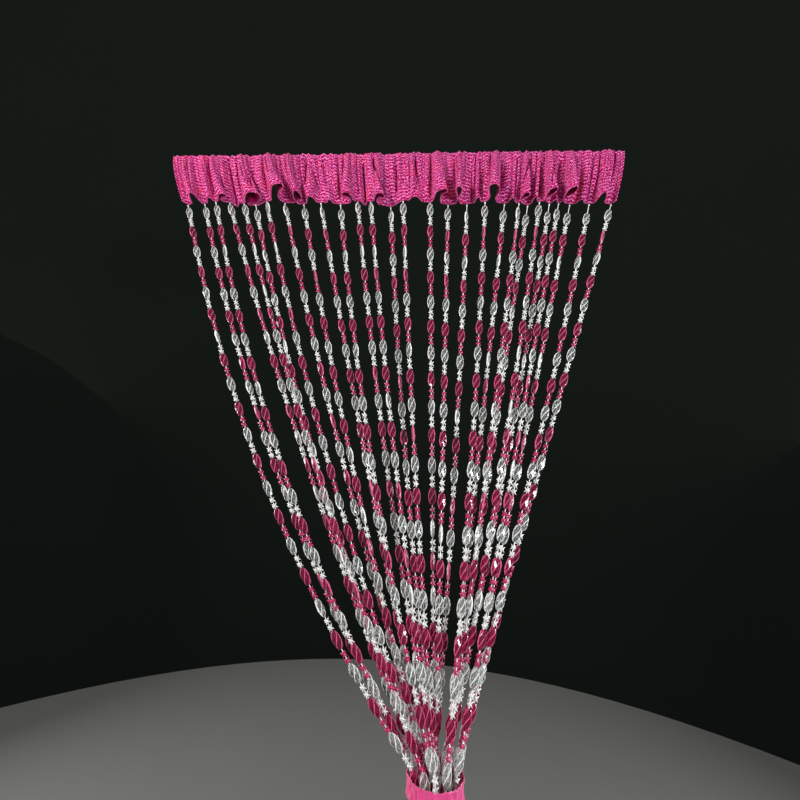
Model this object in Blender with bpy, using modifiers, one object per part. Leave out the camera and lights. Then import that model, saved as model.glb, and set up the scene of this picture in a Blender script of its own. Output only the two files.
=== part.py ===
"""Bead curtain: 28 bead strands on the hem of a gathered cloth heading, drawn together by a tie.

Origin: the middle of the heading's top edge, where the curtain hangs. +Z is up, and the front faces -Y.
Units: metres; the tables are in millimetres.
"""

import math
from collections import namedtuple

import bmesh
import bpy
import numpy as np

MM = 0.001

# The heading: a strip of cloth, gathered along its top edge. The gathers' pitch varies a little.
HEADING_HEIGHT = 0.129
CLOTH_THICKNESS = 0.0016
HEADING_ROWS = 5
TOP_FOLD_SHARE = 0.3
HEM_START = 1.25
GATHER_DEPTH = 0.0035
GATHER_WAVES = 54
GATHER_UNEVEN = 0.35
UNEVEN_WAVES = 7.3
HEAD_RISE = 0.0012
RISE_RATE = 0.37
EDGE_DEPTH_SHARE = 0.3
EDGE_DROP = 0.12

# The strip that the strands' roots are fused into, just below the cloth's edge.
STRIP_GAP = 0.0008
STRIP_HEIGHT = 0.0030
STRIP_THICKNESS = 0.0020

# The strands, which lean in to the tie and then hang straight down.
STRAND_WIDTH = 0.0072
STRAND_LENGTH = 1.835
TIE_CENTRE_X = 0.128
TIE_DROP = 1.110
MEET_DROP = 1.094
PULL = 0.09
SLANT_STEPS = 12
TAIL_STEPS = 3
TAIL_SPREAD = 1.12
SLOT_PITCH_X = 0.014
SLOT_PITCH_Y = 0.009
SLOT_ROWS = (4, 6, 8, 6, 4)

# The tie: a soft band around the bundle. Its rings are given by height and by share of the flare.
TIE_HEIGHT = 0.024
TIE_THICKNESS = 0.0022
TIE_INSIDE = 0.0375
TIE_FLARE = 0.0012
TIE_SIDES = 28
TieRing = namedtuple("TieRing", "level flare")
TIE_RINGS = [TieRing(0.5, 1), TieRing(0.22, 0), TieRing(-0.22, 0), TieRing(-0.5, 1)]

# A row for each strand, from left to right. x and y place its root on the hem (y is positive to
# the back), and sag bows its line. The rest is the bay of cloth between this root and the next:
# the bend it makes, the middle and half width of the bend, and how far out of the line it swings.
Strand = namedtuple("Strand", "x y sag bend middle half out")
STRANDS = [
    Strand(-432, 0, 1.5, "arch", -411, 12, 28),
    Strand(-393, -2, 1.3, "arch", -378, 9, 12),
    Strand(-365, -8, 1.3, "lap right", -350, 9, 20),
    Strand(-335, -6, 0.4, "arch", -324, 7, -7),
    Strand(-305, -2, 0.5, "over", -281, 19, 28),
    Strand(-280, -1, 0.9, "under", -283, 13, 11),
    Strand(-253, -8, 0.5, "hook right", -222, 10, 40),
    Strand(-215, -4, 0.35, "lap right", -184, 9, 31),
    Strand(-175, 0, 0.45, "arch", -158, 12, 17),
    Strand(-137, -4, 0.2, "arch", -118, 7, 9),
    Strand(-96, 1, 1.0, "lap left", -79, 9, 25),
    Strand(-58, -6, 0.7, "arch", -45, 6, -8),
    Strand(-31, -5, 0.5, "lap right", -12, 9, 27),
    Strand(10, 9, 0.9, "plain", 24, 7, 0),
    Strand(37, -8, 0.6, "arch", 62, 14, 11),
    Strand(93, -3, 0.2, "flap right", 114, 11, 32),
    Strand(130, 3, 2.0, "loop", 150, 6.5, 39),
    Strand(169, 2, 1.9, "arch", 190, 7, 12),
    Strand(205, -5, 1.2, "neck", 219, 11, 38),
    Strand(245, 1, 0.05, "arch", 260, 9, 13),
    Strand(274, -1, 0.2, "arch", 285, 7, 27),
    Strand(293, 6, 0.05, "arch", 303, 7, 24),
    Strand(314, -4, 0.5, "neck", 325, 6, 32),
    Strand(335, 1, 0.45, "arch", 345, 6, 8),
    Strand(353, 0, 0.1, "flap right", 370, 8, 37),
    Strand(376, 3, 0.15, "arch", 396, 9, 10),
    Strand(414, 2, 0.3, "arch", 434, 11, 27),
    Strand(457, 3, 0.1, "plain", 460, 2, 0),
]

# The hem's two ends: x and y.
HEM_LEFT = (-440, -9)
HEM_RIGHT = (464, -5)

# No two stations along the hem are further apart than this, in millimetres.
STATION_GAP = 13

# The bends, seen from above: across in half widths from the middle, out in shares of the depth.
ARCH = [(-1, 0.05), (-0.7, 0.5), (-0.38, 0.88), (0, 1), (0.38, 0.88), (0.7, 0.5), (1, 0.05)]
NECK = [(-1, 0.02), (-0.58, 0.3), (-0.98, 0.66), (-0.78, 0.93), (0, 1.02)]
NECK = NECK + [(-across, out) for across, out in reversed(NECK[:-1])]
LOOP = [(-1, 0.02), (-0.3, 0.2), (-0.25, 0.5), (-0.85, 0.74), (-0.66, 0.95), (0, 1.02)]
LOOP = LOOP + [(-across, out) for across, out in reversed(LOOP[:-1])]
HOOK_RIGHT = [
    (-1.8, 0.05), (-1.4, 0.3), (-0.9, 0.6), (-0.4, 0.85), (0.6, 1), (1.6, 1.0),
    (1.5, 0.86), (0.7, 0.74), (0.1, 0.52), (-0.3, 0.3), (0.0, 0.1),
]
FLAP_RIGHT = [
    (-1.5, 0.1), (-1.15, 0.5), (-0.7, 0.83), (0.1, 1), (0.9, 1.08), (1.2, 0.98),
    (0.8, 0.82), (0.15, 0.64), (0.0, 0.38), (0.1, 0.12), (0.3, 0.0),
]
LAP_RIGHT = [
    (-1.5, 0.1), (-1.1, 0.5), (-0.6, 0.85), (0.1, 1), (0.9, 1), (1.2, 0.84),
    (0.85, 0.64), (-0.1, 0.52), (-0.6, 0.34), (-0.62, 0.12), (-0.2, -0.05), (0.7, -0.05),
]
LAP_LEFT = [(-across, out) for across, out in reversed(LAP_RIGHT)]
OVER = [(-0.9, 0.5), (-0.4, 0.9), (0.2, 1), (0.8, 0.85), (1, 0.6), (0.75, 0.35)]
UNDER = [(-0.7, 0), (-1, -0.15), (-0.7, -0.42), (0.4, -0.5), (1.5, -0.2)]
BENDS = {
    "plain": [],
    "arch": ARCH,
    "neck": NECK,
    "loop": LOOP,
    "hook right": HOOK_RIGHT,
    "flap right": FLAP_RIGHT,
    "lap right": LAP_RIGHT,
    "lap left": LAP_LEFT,
    "over": OVER,
    "under": UNDER,
}


def clear_objects():
    """Remove every object, so the script gives the same result from any file."""
    for thing in list(bpy.data.objects):
        bpy.data.objects.remove(thing, do_unlink=True)


def add_collection(name):
    """Make a collection and link it to the scene."""
    group = bpy.data.collections.new(name)
    bpy.context.scene.collection.children.link(group)
    return group


def make_material(name, colour, roughness):
    """Make a Principled material from an RGB colour and a roughness."""
    material = bpy.data.materials.new(name)
    material.use_nodes = True
    shader = material.node_tree.nodes["Principled BSDF"]
    shader.inputs["Base Color"].default_value = (*colour, 1.0)
    shader.inputs["Roughness"].default_value = roughness
    shader.inputs["Metallic"].default_value = 0.0
    return material


def add_object(name, mesh_tools, group, material):
    """Turn a bmesh into a named object in a collection, and free the bmesh."""
    mesh = bpy.data.meshes.new(name)
    mesh_tools.to_mesh(mesh)
    mesh_tools.free()
    mesh.materials.append(material)
    thing = bpy.data.objects.new(name, mesh)
    group.objects.link(thing)
    return thing


def bay_points(first, second):
    """Return the hem's plan points, in millimetres, from one root up to the next."""
    points = [(first.x, first.y)]
    for across, out in BENDS[first.bend]:
        x = first.middle + across * first.half
        line = first.y + (second.y - first.y) * np.clip((x - first.x) / (second.x - first.x), 0, 1)
        points.append((x, line - out * first.out))
    return points


def hem_line():
    """Return the hem's plan as rows of x and y in metres, and the station of each root.

    Where two points are far apart, stations are added on the straight line between them.
    """
    corners = [HEM_LEFT]
    root_corners = []
    for first, second in zip(STRANDS, STRANDS[1:]):
        root_corners.append(len(corners))
        corners += bay_points(first, second)
    root_corners.append(len(corners))
    corners += [(STRANDS[-1].x, STRANDS[-1].y), HEM_RIGHT]

    points = []
    roots = []
    for index, (here, there) in enumerate(zip(corners, corners[1:])):
        if index in root_corners:
            roots.append(len(points))
        steps = math.ceil(math.dist(here, there) / STATION_GAP)
        points += np.linspace(here, there, steps, endpoint=False).tolist()
    points.append(HEM_RIGHT)
    return np.array(points, dtype=float) * MM, roots


def hem_height(y):
    """Return the hem's height where it swings out by y: the cloth keeps its length, so it rises."""
    return -HEADING_HEIGHT + y * y / (2 * HEADING_HEIGHT)


def heading_grid():
    """Return the heading's mid surface as rows of points from the top edge down to the hem.

    The hem's plan is drawn out and up towards the top: its folds shrink to a share of their
    depth, its sideways laps open out, and small uneven gathers take their place. Close to the top
    edge all of them flatten to a share of their depth.
    """
    hem, roots = hem_line()
    length = np.concatenate([[0.0], np.cumsum(np.linalg.norm(np.diff(hem, axis=0), axis=1))])
    ends = [0] + roots + [len(hem) - 1]
    even_x = np.interp(length, length[ends], hem[ends, 0])
    top_x = even_x + PULL * (even_x - TIE_CENTRE_X)
    along = (even_x - even_x[0]) / (even_x[-1] - even_x[0])
    uneven = GATHER_UNEVEN * np.sin(2 * math.pi * UNEVEN_WAVES * along)
    wave = 2 * math.pi * (GATHER_WAVES * along + uneven)
    gather_y = GATHER_DEPTH * np.sin(wave)
    top_z = HEAD_RISE * np.sin(RISE_RATE * wave)
    rows = []
    for step in range(HEADING_ROWS + 1):
        drop = step / HEADING_ROWS
        share = drop ** HEM_START
        fold = TOP_FOLD_SHARE + (1 - TOP_FOLD_SHARE) * share
        x = top_x + (hem[:, 0] - top_x) * share
        swell = EDGE_DEPTH_SHARE + (1 - EDGE_DEPTH_SHARE) * (1 - math.exp(-drop / EDGE_DROP))
        y = (hem[:, 1] * fold + gather_y * (1 - share)) * swell
        z = top_z * (1 - share) + hem_height(hem[:, 1]) * drop
        rows.append(np.stack([x, y, z], axis=1))
    return np.array(rows)


def build_heading(group, material):
    """Make the cloth heading: an open grid of folds, given its thickness by Solidify."""
    grid = heading_grid()
    tools = bmesh.new()
    rows = [[tools.verts.new(point) for point in row] for row in grid.tolist()]
    for upper, lower in zip(rows, rows[1:]):
        for index in range(len(upper) - 1):
            tools.faces.new((upper[index], lower[index], lower[index + 1], upper[index + 1]))
    heading = add_object("heading", tools, group, material)
    heading.data.shade_smooth()
    wall = heading.modifiers.new("Cloth thickness", "SOLIDIFY")
    wall.thickness = CLOTH_THICKNESS
    wall.offset = 0.0
    return heading


def loft(tools, sections):
    """Join four-point sections into one closed tube with capped ends."""
    rings = [[tools.verts.new(point) for point in section] for section in sections]
    for upper, lower in zip(rings, rings[1:]):
        for side in range(4):
            other = (side + 1) % 4
            tools.faces.new((upper[side], lower[side], lower[other], upper[other]))
    tools.faces.new(list(reversed(rings[-1])))
    tools.faces.new(rings[0])


def strip_sections():
    """Return the root strip's four-point sections along the hem."""
    hem, _ = hem_line()
    along = np.gradient(hem, axis=0)
    along = along / np.linalg.norm(along, axis=1, keepdims=True)
    side = np.stack([-along[:, 1], along[:, 0]], axis=1) * STRIP_THICKNESS / 2
    top = hem_height(hem[:, 1]) - STRIP_GAP
    sections = []
    for (x, y), (dx, dy), z in zip(hem.tolist(), side.tolist(), top.tolist()):
        low = z - STRIP_HEIGHT
        sections.append([
            (x + dx, y + dy, low),
            (x + dx, y + dy, z),
            (x - dx, y - dy, z),
            (x - dx, y - dy, low),
        ])
    return sections


def bundle_slots():
    """Return each strand's x and y in the tied bundle, column by column.

    Neighbours take every other row of their column, so strands run side by side without crossing.
    """
    slots = []
    middle = (len(SLOT_ROWS) - 1) / 2
    for column, rows in enumerate(SLOT_ROWS):
        for index in range(rows):
            row = index // 2 if index % 2 == 0 else (rows + index) // 2
            x = TIE_CENTRE_X + (column - middle) * SLOT_PITCH_X
            y = (row - (rows - 1) / 2) * SLOT_PITCH_Y
            slots.append((x, y))
    return slots


def strand_route(strand, slot):
    """Return a strand's centre line from its root to its lower end.

    Down to where the strands meet, just above the tie, x follows a logarithm of the height, the
    line of a hanging chain that is pulled aside, and y runs straight. From there the strand hangs,
    and the bundle spreads a little.
    """
    root_x, root_y = strand.x * MM, strand.y * MM
    root_z = hem_height(root_y) - STRIP_GAP - STRIP_HEIGHT / 2
    points = []
    for step in range(SLANT_STEPS + 1):
        height = 1 - step / SLANT_STEPS
        lean = math.log1p(strand.sag * height) / math.log1p(strand.sag)
        x = slot[0] + (root_x - slot[0]) * lean
        y = slot[1] + (root_y - slot[1]) * height
        z = -MEET_DROP + (root_z + MEET_DROP) * height
        points.append((x, y, z))
    used = sum(math.dist(a, b) for a, b in zip(points, points[1:]))
    tail = STRAND_LENGTH - used
    for step in range(1, TAIL_STEPS + 1):
        share = step / TAIL_STEPS
        spread = 1 + (TAIL_SPREAD - 1) * share
        x = TIE_CENTRE_X + (slot[0] - TIE_CENTRE_X) * spread
        points.append((x, slot[1] * spread, -MEET_DROP - tail * share))
    return points


def strand_sections(points):
    """Return square sections level with the ground along a strand, as wide as its beads on average."""
    half = STRAND_WIDTH / 2
    corners = ((-half, -half), (half, -half), (half, half), (-half, half))
    return [[(x + dx, y + dy, z) for dx, dy in corners] for x, y, z in points]


def build_strands(group, cutters, material):
    """Make the strands and fuse their roots into the strip along the hem."""
    tools = bmesh.new()
    loft(tools, strip_sections())
    bmesh.ops.recalc_face_normals(tools, faces=tools.faces)
    strip = add_object("strands", tools, group, material)

    tools = bmesh.new()
    for strand, slot in zip(STRANDS, bundle_slots()):
        loft(tools, strand_sections(strand_route(strand, slot)))
    bmesh.ops.recalc_face_normals(tools, faces=tools.faces)
    hanging = add_object("strand_lengths", tools, cutters, material)
    hanging.hide_render = True
    hanging.display_type = "WIRE"

    join = strip.modifiers.new("Fuse the roots", "BOOLEAN")
    join.operation = "UNION"
    join.object = hanging
    return strip


def build_tie(group, material):
    """Make the tie: an open ring of cloth with a slight waist, given its thickness by Solidify."""
    tools = bmesh.new()
    rings = []
    for level, flare in TIE_RINGS:
        radius = TIE_INSIDE + TIE_THICKNESS / 2 + TIE_FLARE * flare
        ring = []
        for side in range(TIE_SIDES):
            turn = 2 * math.pi * side / TIE_SIDES
            x = TIE_CENTRE_X + radius * math.cos(turn)
            y = radius * math.sin(turn)
            ring.append(tools.verts.new((x, y, -TIE_DROP + level * TIE_HEIGHT)))
        rings.append(ring)
    for upper, lower in zip(rings, rings[1:]):
        for side in range(TIE_SIDES):
            other = (side + 1) % TIE_SIDES
            tools.faces.new((upper[side], lower[side], lower[other], upper[other]))
    tie = add_object("tie", tools, group, material)
    tie.data.shade_smooth()
    wall = tie.modifiers.new("Band thickness", "SOLIDIFY")
    wall.thickness = TIE_THICKNESS
    wall.offset = 0.0
    return tie


def main():
    clear_objects()
    curtain = add_collection("Bead curtain")
    cutters = add_collection("Cutters")
    cloth = make_material("Glossy pink woven cloth", (0.60, 0.03, 0.22), 0.40)
    beads = make_material("Clear and pink acrylic beads", (0.85, 0.55, 0.68), 0.15)
    ribbon = make_material("Pink satin band", (0.60, 0.03, 0.22), 0.35)
    build_heading(curtain, cloth)
    build_strands(curtain, cutters, beads)
    build_tie(curtain, ribbon)


main()
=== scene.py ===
"""Bead curtain: strands of faceted oval and star beads on the hem of a gathered cloth heading.

The strands lean in to a tie and hang from there as a bundle. The middle of the heading's top edge
is the origin, +Z is up and the front faces -Y. Units are metres; the tables are in millimetres.
"""

import math
from collections import namedtuple

import bpy
import numpy as np
from bpy.props import FloatProperty, FloatVectorProperty, IntProperty, PointerProperty
from mathutils import Matrix, Vector


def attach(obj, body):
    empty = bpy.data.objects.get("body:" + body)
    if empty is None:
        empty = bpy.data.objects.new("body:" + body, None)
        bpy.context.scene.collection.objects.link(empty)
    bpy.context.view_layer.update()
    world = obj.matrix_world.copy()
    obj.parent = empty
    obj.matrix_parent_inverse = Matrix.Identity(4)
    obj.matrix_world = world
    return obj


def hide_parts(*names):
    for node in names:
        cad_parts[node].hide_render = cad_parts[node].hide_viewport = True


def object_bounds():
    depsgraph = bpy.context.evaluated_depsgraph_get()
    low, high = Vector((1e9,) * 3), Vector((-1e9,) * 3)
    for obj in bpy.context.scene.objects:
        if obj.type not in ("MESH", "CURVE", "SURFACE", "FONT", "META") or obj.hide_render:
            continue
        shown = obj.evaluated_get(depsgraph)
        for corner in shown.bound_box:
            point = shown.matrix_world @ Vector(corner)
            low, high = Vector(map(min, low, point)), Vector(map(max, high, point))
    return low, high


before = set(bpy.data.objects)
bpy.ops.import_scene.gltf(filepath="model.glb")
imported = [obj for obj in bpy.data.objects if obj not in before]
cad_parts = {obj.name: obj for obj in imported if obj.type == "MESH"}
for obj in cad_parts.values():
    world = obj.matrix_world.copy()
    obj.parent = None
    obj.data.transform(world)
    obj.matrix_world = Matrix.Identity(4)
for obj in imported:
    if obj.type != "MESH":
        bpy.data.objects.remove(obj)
CAD_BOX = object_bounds()

bl_info = {
    "name": "Bead Curtain",
    "version": (1, 0, 0),
    "blender": (4, 5, 0),
    "location": "View3D > Sidebar > Bead Curtain",
    "description": "Builds a bead curtain on a gathered cloth heading, with its light and camera",
    "category": "Add Mesh",
}

MM = 0.001

# The heading's gathers, which fade from its top edge down to the hem. The hem's folds keep
# TOP_FOLD_SHARE of their depth at the top edge and grow by the power HEM_START. PULL widens the
# top edge, PUFF is the power of a gather's section, and FINE is a second, finer set of gathers.
# The EDGE values flatten the cloth near its top edge.
TOP_FOLD_SHARE = 0.3
HEM_START = 1.25
GATHER_WAVES = 54
GATHER_UNEVEN = 0.35
UNEVEN_WAVES = 7.3
HEAD_RISE = 0.0012
RISE_RATE = 0.37
PULL = 0.09
PUFF = 0.7
FINE_RATE = 1.43
FINE_SHARE = 0.7
FINE_SHIFT = 0.8
GATHER_FADE = 4
TOP_SCALLOP = 0.0018
SCALLOP_DROP = 0.05
EDGE_DEPTH_SHARE = 0.3
EDGE_DROP = 0.12

# The narrow strip under the cloth's edge that the strands are rooted in.
STRIP_GAP = 0.0008
STRIP_HEIGHT = 0.0030

# The strands, which meet just above the tie and then hang straight down.
TIE_CENTRE_X = 0.128
TIE_DROP = 1.110
MEET_DROP = 1.094
TAIL_SPREAD = 1.12
SLOT_PITCH_X = 0.014
SLOT_PITCH_Y = 0.009
SLOT_ROWS = (4, 6, 8, 6, 4)
LINE_STEP = 0.004
EASE_STEPS = 9

# The tie.
TIE_HEIGHT = 0.024
TIE_INSIDE = 0.0375
TIE_HALF_WALL = 0.0013
TIE_FLARE = 0.0012

# A row for each strand, from left to right. x and y place its root on the hem (y is positive to
# the back), sag bows its line, and gap is the bare thread above its first bead. The rest is the
# bay of cloth between this root and the next: the bend it makes, the middle and half width of the
# bend, and how far out of the line it swings.
Strand = namedtuple("Strand", "x y sag gap bend middle half out")
STRANDS = [Strand(*row) for row in (
    (-432, 0, 1.5, 7, "arch", -411, 12, 28),
    (-393, -2, 1.3, 8, "arch", -378, 9, 12),
    (-365, -8, 1.3, 8, "lap right", -346, 9, 19),
    (-335, -6, 0.4, 4, "arch", -324, 7, -7),
    (-305, -2, 0.5, 2, "over", -281, 19, 28),
    (-280, -1, 0.9, 14, "under", -283, 13, 11),
    (-253, -8, 0.5, 1, "hook right", -222, 10, 40),
    (-215, -4, 0.35, 5, "curl right", -184, 9, 31),
    (-175, 0, 0.45, 9, "arch", -158, 12, 17),
    (-137, -4, 0.2, 11, "arch", -118, 7, 9),
    (-96, 1, 1.0, 12, "lap left", -79, 9, 25),
    (-58, -6, 0.7, 1, "arch", -45, 6, -8),
    (-31, -5, 0.5, 2, "lap right", -12, 9, 27),
    (10, 9, 0.9, 9, "plain", 24, 7, 0),
    (37, -8, 0.6, 4, "arch", 62, 14, 11),
    (93, -3, 0.2, 1, "flap right", 114, 11, 32),
    (130, 3, 2.0, 8, "loop", 150, 6.5, 39),
    (169, 2, 1.9, 16, "arch", 190, 7, 12),
    (205, -5, 1.2, 8, "neck", 219, 11, 38),
    (245, 1, 0.05, 15, "arch", 260, 9, 13),
    (274, -1, 0.2, 10, "pocket right", 284, 6, 27),
    (293, 6, 0.05, 21, "arch", 304, 6, 16),
    (314, -4, 0.5, 6, "pocket right", 333, 7, 34),
    (335, 1, 0.45, 18, "arch", 345, 6, 8),
    (353, 0, 0.1, 13, "pocket right", 370, 8, 37),
    (376, 3, 0.15, 20, "arch", 396, 9, 10),
    (414, 2, 0.3, 21, "arch", 434, 11, 27),
    (457, 3, 0.1, 12, "plain", 460, 2, 0),
)]

# The hem's two ends: x and y.
HEM_LEFT = (-440, -9)
HEM_RIGHT = (464, -5)

# The bends, seen from above: across in half widths from the middle, out in shares of the depth.
ARCH = [(-1, 0.05), (-0.7, 0.5), (-0.38, 0.88), (0, 1), (0.38, 0.88), (0.7, 0.5), (1, 0.05)]
NECK = [(-1, 0.02), (-0.58, 0.3), (-0.98, 0.66), (-0.78, 0.93), (0, 1.02)]
NECK = NECK + [(-across, out) for across, out in reversed(NECK[:-1])]
LOOP = [(-1, 0.02), (-0.3, 0.2), (-0.25, 0.5), (-0.85, 0.74), (-0.66, 0.95), (0, 1.02)]
LOOP = LOOP + [(-across, out) for across, out in reversed(LOOP[:-1])]
HOOK_RIGHT = [
    (-2.2, 0.05), (-1.85, 0.3), (-1.4, 0.6), (-0.8, 0.88), (0.4, 1.02), (1.4, 1.0),
    (1.5, 0.86), (0.7, 0.74), (0.1, 0.52), (-0.3, 0.3), (0.0, 0.1),
]
FLAP_RIGHT = [
    (-1.5, 0.1), (-1.15, 0.5), (-0.7, 0.83), (0.1, 1), (0.9, 1.08), (1.2, 0.98),
    (0.8, 0.82), (0.15, 0.64), (0.0, 0.38), (0.1, 0.12), (0.3, 0.0),
]
POCKET_RIGHT = [
    (-1.5, 0.1), (-1.3, 0.45), (-0.8, 0.85), (0.1, 1), (0.9, 1.05), (1.2, 0.92),
    (0.8, 0.7), (-0.2, 0.5), (-0.9, 0.32), (-1.0, 0.16), (-0.5, 0.04), (0.1, 0.0),
]
CURL_RIGHT = [
    (-1.0, 0.1), (-1.0, 0.5), (-0.6, 0.88), (0, 1), (0.7, 0.86), (1.0, 0.58),
    (0.6, 0.34), (-0.2, 0.26), (-0.62, 0.15), (-0.5, -0.02), (0.2, -0.05),
]
LAP_RIGHT = [
    (-1.5, 0.1), (-1.1, 0.5), (-0.6, 0.85), (0.1, 1), (0.9, 1), (1.2, 0.84),
    (0.85, 0.64), (-0.1, 0.52), (-0.6, 0.34), (-0.62, 0.12), (-0.2, -0.05), (0.7, -0.05),
]
LAP_LEFT = [(-across, out) for across, out in reversed(LAP_RIGHT)]
OVER = [(-0.9, 0.5), (-0.4, 0.9), (0.2, 1), (0.8, 0.85), (1, 0.6), (0.75, 0.35)]
UNDER = [(-0.9, 0), (-1.25, -0.15), (-0.9, -0.42), (0.4, -0.5), (1.5, -0.2)]
BENDS = {
    "plain": [],
    "arch": ARCH,
    "neck": NECK,
    "loop": LOOP,
    "hook right": HOOK_RIGHT,
    "flap right": FLAP_RIGHT,
    "pocket right": POCKET_RIGHT,
    "curl right": CURL_RIGHT,
    "lap right": LAP_RIGHT,
    "lap left": LAP_LEFT,
    "over": OVER,
    "under": UNDER,
}

# The main creases: soft troughs from the first x and drop to the second, with a half width and a
# depth, in millimetres. Each fades out past both its ends, and from the cloth's line to the back.
CREASE_SCALE = 2.3
CREASE_POINT = 1.2
CREASE_NARROWING = 0.8
CREASE_UPPER_FADE = 14
CREASE_LOWER_FADE = 12
CREASE_AT_LINE = 0.8
CREASE_BACK_FADE = 16
Crease = namedtuple("Crease", "x drop low_x low_drop half depth")
CREASES = [Crease(*row) for row in (
    (-362, 18, -326, 124, 6, 7),
    (-331, 24, -309, 74, 4, 4),
    (-304, 52, -289, 99, 4, 5),
    (-274, 14, -250, 76, 4, 5),
    (-251, 14, -237, 76, 4, 4),
    (-184, 20, -178, 78, 7, 8),
    (-168, 34, -149, 90, 4, 5),
    (-145, 22, -131, 84, 6, 6),
    (-98, 28, -94, 100, 3, 3),
    (-56, 30, -43, 121, 4, 7),
    (-33, 26, -7, 101, 4, 7),
    (19, 40, 22, 92, 4, 5),
    (58, 26, 68, 92, 4, 5),
    (147, 24, 149, 80, 6, 8),
    (180, 30, 178, 115, 3, 5),
    (195, 30, 195, 115, 3, 4),
    (241, 30, 238, 92, 4, 6),
    (274, 22, 265, 121, 4, 7),
    (299, 20, 277, 114, 4, 6),
    (320, 40, 316, 104, 4, 5),
    (346, 40, 334, 104, 4, 5),
    (361, 32, 349, 104, 4, 5),
    (377, 60, 364, 116, 4, 4),
)]

# The camera, at the photo's place and angle. Angles are in degrees.
CAMERA_PLACE = (0.099, -0.6579, -0.731)
CAMERA_UP = 14.97
CAMERA_LEFT = 4.163
CAMERA_TILT = 2.911
CAMERA_LENS = 17.1
SENSOR_WIDTH = 36.0

# The soft lights: place, what they aim at, width, power in watts and colour.
Lamp = namedtuple("Lamp", "name place aim width power colour")
LAMPS = [
    Lamp("Key light", (-1.7, -1.5, 0.6), (0.0, 0.0, -0.4), 0.9, 72, "FFFBF5"),
    Lamp("Fill light", (1.6, -1.7, -1.0), (0.1, 0.0, -0.6), 0.6, 46, "F4F8FF"),
    Lamp("Left rim light", (-2.3, 0.9, -0.5), (0.0, 0.0, -0.6), 1.6, 46, "FFFFFF"),
    Lamp("Right rim light", (2.4, 0.8, -0.5), (0.0, 0.0, -0.6), 1.6, 46, "FFFFFF"),
]

# The studio round the curtain.
ROOM_RADIUS = 3.0
ROOM_HEIGHT = 3.6
SKY_COLOUR = "F4F6F8"
SKY_STRENGTH = 0.30
FLOOR_GAP = 0.06

# A bead's points, four-sided faces, end faces and UV corners.
Pattern = namedtuple("Pattern", "points quads caps uv")


def linear(code):
    """Turn an sRGB hex colour into linear red, green, blue and an alpha of 1."""
    values = [int(code[i : i + 2], 16) / 255 for i in (0, 2, 4)]
    return (*[v / 12.92 if v <= 0.04045 else ((v + 0.055) / 1.055) ** 2.4 for v in values], 1.0)


def colour_property(name, description, code):
    """Make a colour property from an sRGB hex default."""
    return FloatVectorProperty(
        name=name, description=description, default=linear(code), size=4, subtype="COLOR", min=0, max=1
    )


def size_property(name, description, default, low, high):
    """Make a length property with its limits."""
    return FloatProperty(
        name=name, description=description, default=default, min=low, max=high, unit="LENGTH"
    )


class CurtainSizes(bpy.types.PropertyGroup):
    """Sizes that a user would change"""

    heading_height: size_property("Heading height", "Cloth from its top edge to the hem", 0.129, 0.08, 0.2)
    cloth_thickness: size_property(
        "Cloth thickness", "Thickness of the heading's cloth", 0.0012, 0.0005, 0.003
    )
    gather_depth: size_property(
        "Gather depth", "Half the depth of the gathers at the top edge", 0.0042, 0.0, 0.008
    )
    strand_length: size_property("Strand length", "Thread from the hem to its knot", 1.835, 0.5, 2.2)
    thread_width: size_property("Thread width", "Diameter of the thread", 0.0014, 0.0005, 0.003)
    unit_length: size_property(
        "Bead unit", "One oval and two star beads, with their gaps", 0.052, 0.04, 0.08
    )
    oval_length: size_property("Oval length", "Oval bead along the thread", 0.0285, 0.01, 0.04)
    oval_width: size_property("Oval width", "Oval bead across its flat face", 0.0138, 0.005, 0.02)
    oval_thickness: size_property("Oval thickness", "Oval bead through its flat face", 0.0069, 0.003, 0.01)
    star_width: size_property("Star width", "Star bead from point to point", 0.0100, 0.005, 0.014)
    star_height: size_property("Star height", "Star bead along the thread", 0.0090, 0.004, 0.012)
    seed: IntProperty(
        name="Seed", description="Seed of the beads' turns about the thread", default=7, min=0, max=999,
    )


class CurtainColours(bpy.types.PropertyGroup):
    """Colours that a user would change"""

    cloth: colour_property("Cloth", "The heading's cloth", "B80664")
    # Painted shade: the dark tone between the cloth's bright rows and on its darker reverse.
    cloth_shade: colour_property("Cloth shade", "The cloth between its bright threads", "4C0020")
    cloth_warm: colour_property("Cloth warm patches", "Where the cloth has a redder cast", "D81A4C")
    # Painted highlight: the pale glint on the cloth's bright threads.
    cloth_highlight: colour_property("Cloth highlight", "The cloth's bright threads", "FF9EE0")
    stitches: colour_property("Stitches", "The overlock thread along the hem", "E0649C")
    clear_bead: colour_property("Clear bead", "Clear acrylic", "F4F7F5")
    pink_bead: colour_property("Pink bead", "Pink acrylic", "C02860")
    # Painted highlight: the pale lines on the pink beads' ridges and rim.
    pink_ridge_highlight: colour_property("Pink ridge", "The pink acrylic's worn ridges", "E25E90")
    white_star: colour_property("White star", "White plastic", "FAFAF7")
    # Painted shade: the darker white between the star's spikes.
    white_hollow_shade: colour_property("White hollow", "White plastic between the spikes", "B2B2AC")
    pink_star: colour_property("Pink star", "Pink plastic", "D22C72")
    # Painted shade: the darker pink between the star's spikes.
    pink_hollow_shade: colour_property("Pink hollow", "Pink plastic between the spikes", "86103C")
    thread: colour_property("Thread", "White polyester thread", "EFEEE8")
    tie: colour_property("Tie", "Pink satin band", "B81660")
    # Painted highlight: the satin's brighter streaks.
    tie_highlight: colour_property("Tie highlight", "The satin's bright threads", "DE4A8C")
    floor: colour_property("Floor", "Studio floor", "6A6B67")
    wall: colour_property("Backdrop", "Studio backdrop", "151916")


def sizes():
    """Return the scene's curtain sizes."""
    return bpy.context.scene.curtain_sizes


def colours():
    """Return the scene's curtain colours."""
    return bpy.context.scene.curtain_colours


# Numpy helpers


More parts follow.
